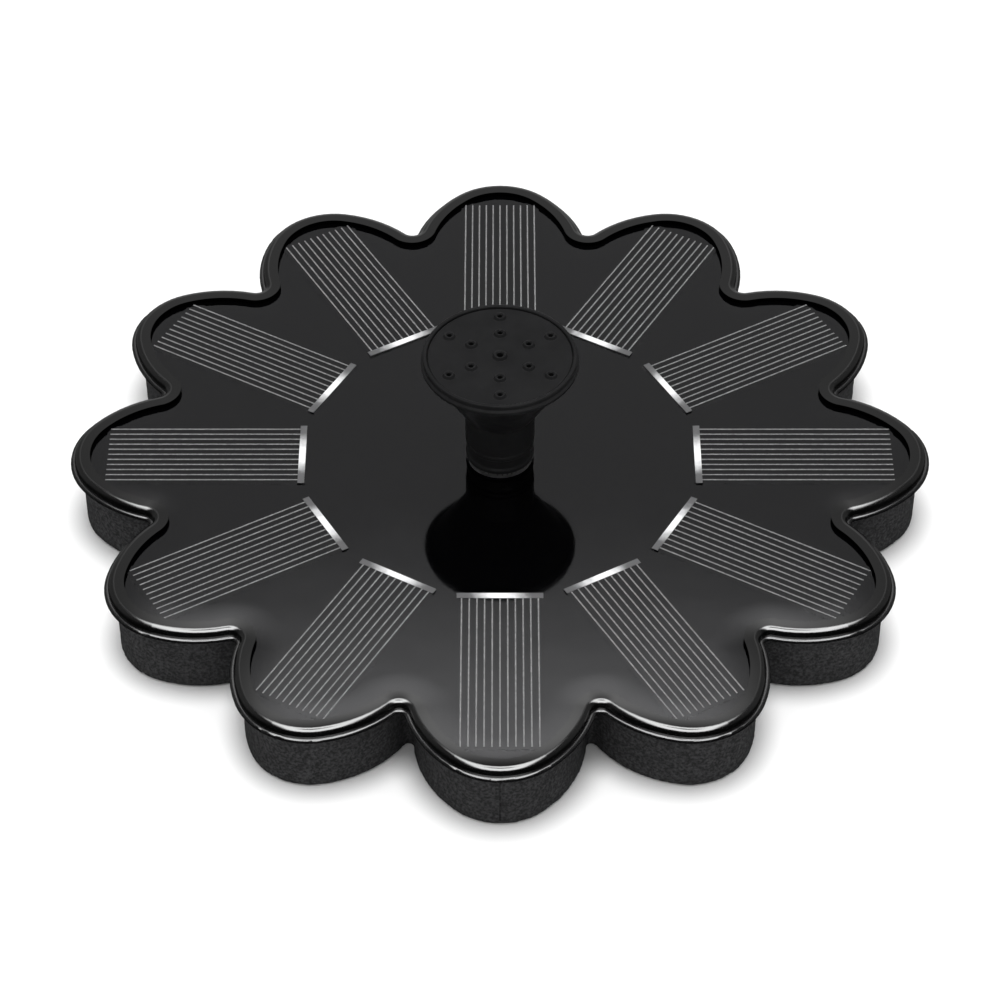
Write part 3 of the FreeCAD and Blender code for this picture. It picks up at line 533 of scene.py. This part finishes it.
def potting_resin():
    """Poured resin with a level, glossy skin and small bubbles."""
    s = Surface("potting_resin")
    bubbles = s.remap(s.cells(1.6), 0.0, 0.12, 0.0, 1.0)
    tone = s.blend(s.noise(3.0), (0.008, 0.008, 0.008), (0.016, 0.016, 0.017))
    return s.finish(Base_Color=tone, Roughness=0.15, Normal=s.bump(bubbles, 0.05))


def wire_insulation(name, colour):
    s = Surface(name)
    tone = s.blend(s.noise(1.0, 3.0), tuple(0.8 * c for c in colour), tuple(1.15 * c for c in colour))
    return s.finish(Base_Color=tone, Roughness=0.4, Normal=s.bump(s.noise(0.3), 0.01))


def lead_red():
    return wire_insulation("lead_red", (0.42, 0.02, 0.015))


def lead_black():
    return wire_insulation("lead_black", (0.02, 0.02, 0.02))


MAKERS = (cover_resin, tray_plastic, board_laminate, tinned_ribbon, silver_print, cell_silicon,
          closed_cell_foam, tape_adhesive, pump_plastic, nozzle_plastic, impeller_plastic,
          bush_plastic, bobbin_plastic, seal_rubber, screw_steel, core_steel, copper_wire,
          circuit_board, chip_body, capacitor_ceramic, lead_red, lead_black, bearing_ceramic,
          magnet_ferrite, filter_sponge, potting_resin)
MATERIALS = {maker.__name__: maker() for maker in MAKERS}


def dress(piece, slot):
    """Puts the slot's material on a new piece."""
    piece.data.materials.clear()
    piece.data.materials.append(MATERIALS[slot])


# ---------------------------------------------------------------- pieces
def remeshed_copy(name, node, voxel_mm):
    """A new object with the node's shape, in small even faces."""
    source = bpy.data.objects.new(name + "_source", NODES[node].data.copy())
    bpy.context.scene.collection.objects.link(source)
    modifier = source.modifiers.new("remesh", "REMESH")
    modifier.mode = "VOXEL"
    modifier.voxel_size = voxel_mm * MM
    mesh = bpy.data.meshes.new_from_object(source.evaluated_get(bpy.context.evaluated_depsgraph_get()))
    bpy.data.objects.remove(source)
    mesh.name = name
    piece = bpy.data.objects.new(name, mesh)
    bpy.context.scene.collection.objects.link(piece)
    return piece


def sink_surface(mesh, depth_at):
    """Moves each point inwards along its normal by depth_at(place), in metres."""
    count = len(mesh.vertices)
    places = np.empty(count * 3)
    normals = np.empty(count * 3)
    mesh.vertices.foreach_get("co", places)
    mesh.vertex_normals.foreach_get("vector", normals)
    places = places.reshape(-1, 3)
    normals = normals.reshape(-1, 3)
    depths = np.array([depth_at(Vector(place)) for place in places])
    moved = places - normals * depths[:, None]
    mesh.vertices.foreach_set("co", moved.ravel())
    mesh.update()
    mesh.shade_smooth()


def foam_float():
    """The float's die-cut foam block, with a grainy cut surface."""
    piece = remeshed_copy("foam_float_block", "foam_float", 0.5)

    def grain(place):
        fine = noise.noise(place / (0.9 * MM))
        broad = noise.noise(place / (5.0 * MM))
        return (0.07 + 0.06 * fine + 0.04 * broad) * MM

    sink_surface(piece.data, grain)
    dress(piece, "closed_cell_foam")
    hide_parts("foam_float")
    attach(piece, "float_panel")


def sponge():
    """The open-cell filter sponge inside the strainer cap."""
    piece = remeshed_copy("filter_sponge_pad", "filter_sponge", 0.4)

    def pits(place):
        return max(0.0, 0.12 + 0.35 * noise.noise(place / (0.9 * MM))) * MM

    sink_surface(piece.data, pits)
    dress(piece, "filter_sponge")
    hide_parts("filter_sponge")
    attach(piece, "strainer")


# ---------------------------------------------------------------- stage
def floor():
    """A plain pale floor, which the gloss doesn't mirror."""
    mesh = bpy.data.meshes.new("floor")
    near = -FLOOR_HALF
    far = FLOOR_HALF
    mesh.from_pydata([(near, near, 0), (far, near, 0), (far, far, 0), (near, far, 0)], [], [(0, 1, 2, 3)])
    plane = bpy.data.objects.new("floor", mesh)
    bpy.context.scene.collection.objects.link(plane)
    plane.location.z = CAD_BOX[0][2] - FLOOR_GAP
    plane.visible_glossy = False
    s = Surface("floor")
    tone = s.blend(s.noise(40.0, 2.0), (0.83, 0.83, 0.83), (0.85, 0.85, 0.85))
    mesh.materials.append(s.finish(Base_Color=tone, Roughness=0.7, Specular_IOR_Level=0.2))


def mirrored_studio(graph, x, y, z):
    """What gloss sees: a dim room with a bright band behind the object, and a softbox overhead."""
    sideways = graph.math("ABSOLUTE", x)
    behind = graph.math("GREATER_THAN", y, 0.0)
    # The room's floor stays dark in front, and starts lower down behind
    leaning = graph.math("ADD", z, graph.math("MULTIPLY", y, 0.6))
    room = graph.product(graph.remap(leaning, *ROOM_FLOOR_UP, 0.10, 1.0),
                         ROOM_LEVEL,
                         graph.fall(z, ROOM_CEILING_UP, 0.4),
                         graph.remap(y, *ROOM_BACK, 0.25, 1.0),
                         graph.fall(sideways, ROOM_SIDE, 0.25))
    band = graph.product(graph.rise(z, BAND_BOTTOM_UP, BAND_LEVEL),
                         graph.fall(z, BAND_TOP_UP),
                         graph.fall(sideways, BAND_SIDE),
                         behind)
    rear = graph.rise(z, SOFTBOX_REAR_UP)
    front = graph.rise(z, SOFTBOX_FRONT_UP)
    softbox = graph.product(graph.choose(behind, front, rear),
                            graph.fall(sideways, SOFTBOX_SIDE),
                            graph.fall(z, SOFTBOX_GAP_UP),
                            SOFTBOX_LEVEL)
    return graph.math("ADD", graph.math("ADD", room, band), softbox)


def world():
    """Even light for matt surfaces, the mirrored studio for gloss, and plain white for the camera."""
    dome = bpy.data.worlds.new("studio")
    bpy.context.scene.world = dome
    dome.use_nodes = True
    graph = Graph(dome.node_tree)
    direction = graph.add("TexCoord").outputs["Generated"]
    x, y, z = graph.add("SeparateXYZ", {"Vector": direction}).outputs
    path = graph.add("LightPath").outputs
    lit = graph.choose(path["Is Glossy Ray"], DOME_LEVEL, mirrored_studio(graph, x, y, z))
    shown = graph.choose(path["Is Camera Ray"], lit, 1.0)
    graph.connect(shown, dome.node_tree.nodes["Background"].inputs["Color"])


def overhead_light():
    """A wide soft light straight above, for matt surfaces and the contact shadow."""
    light = bpy.data.lights.new("overhead", "SUN")
    light.energy = OVERHEAD_STRENGTH
    light.angle = OVERHEAD_ANGLE
    lamp = bpy.data.objects.new("overhead", light)
    bpy.context.scene.collection.objects.link(lamp)
    lamp.visible_glossy = False


def camera():
    panel_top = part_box("clear_cover")[1][2]
    towards = Vector((0, -math.cos(VIEW_ELEVATION), math.sin(VIEW_ELEVATION)))
    picture_down = Vector((0, -math.sin(VIEW_ELEVATION), -math.cos(VIEW_ELEVATION)))
    centre = Vector((0, 0, panel_top))
    aim = centre + picture_down * VIEW_DROP
    lens = bpy.data.cameras.new("camera")
    lens.sensor_width = SENSOR_MM
    lens.lens = LENS_MM
    lens.clip_start = CLIP_START
    eye = bpy.data.objects.new("camera", lens)
    bpy.context.scene.collection.objects.link(eye)
    eye.location = centre + towards * VIEW_DISTANCE
    eye.rotation_euler = (aim - eye.location).to_track_quat("-Z", "Y").to_euler()
    bpy.context.scene.camera = eye


for name, node in NODES.items():
    node.material_slots[0].material = MATERIALS[SLOT_OF[name]]
foam_float()
sponge()
floor()
world()
overhead_light()
camera()
bpy.context.scene.view_settings.view_transform = "Standard"
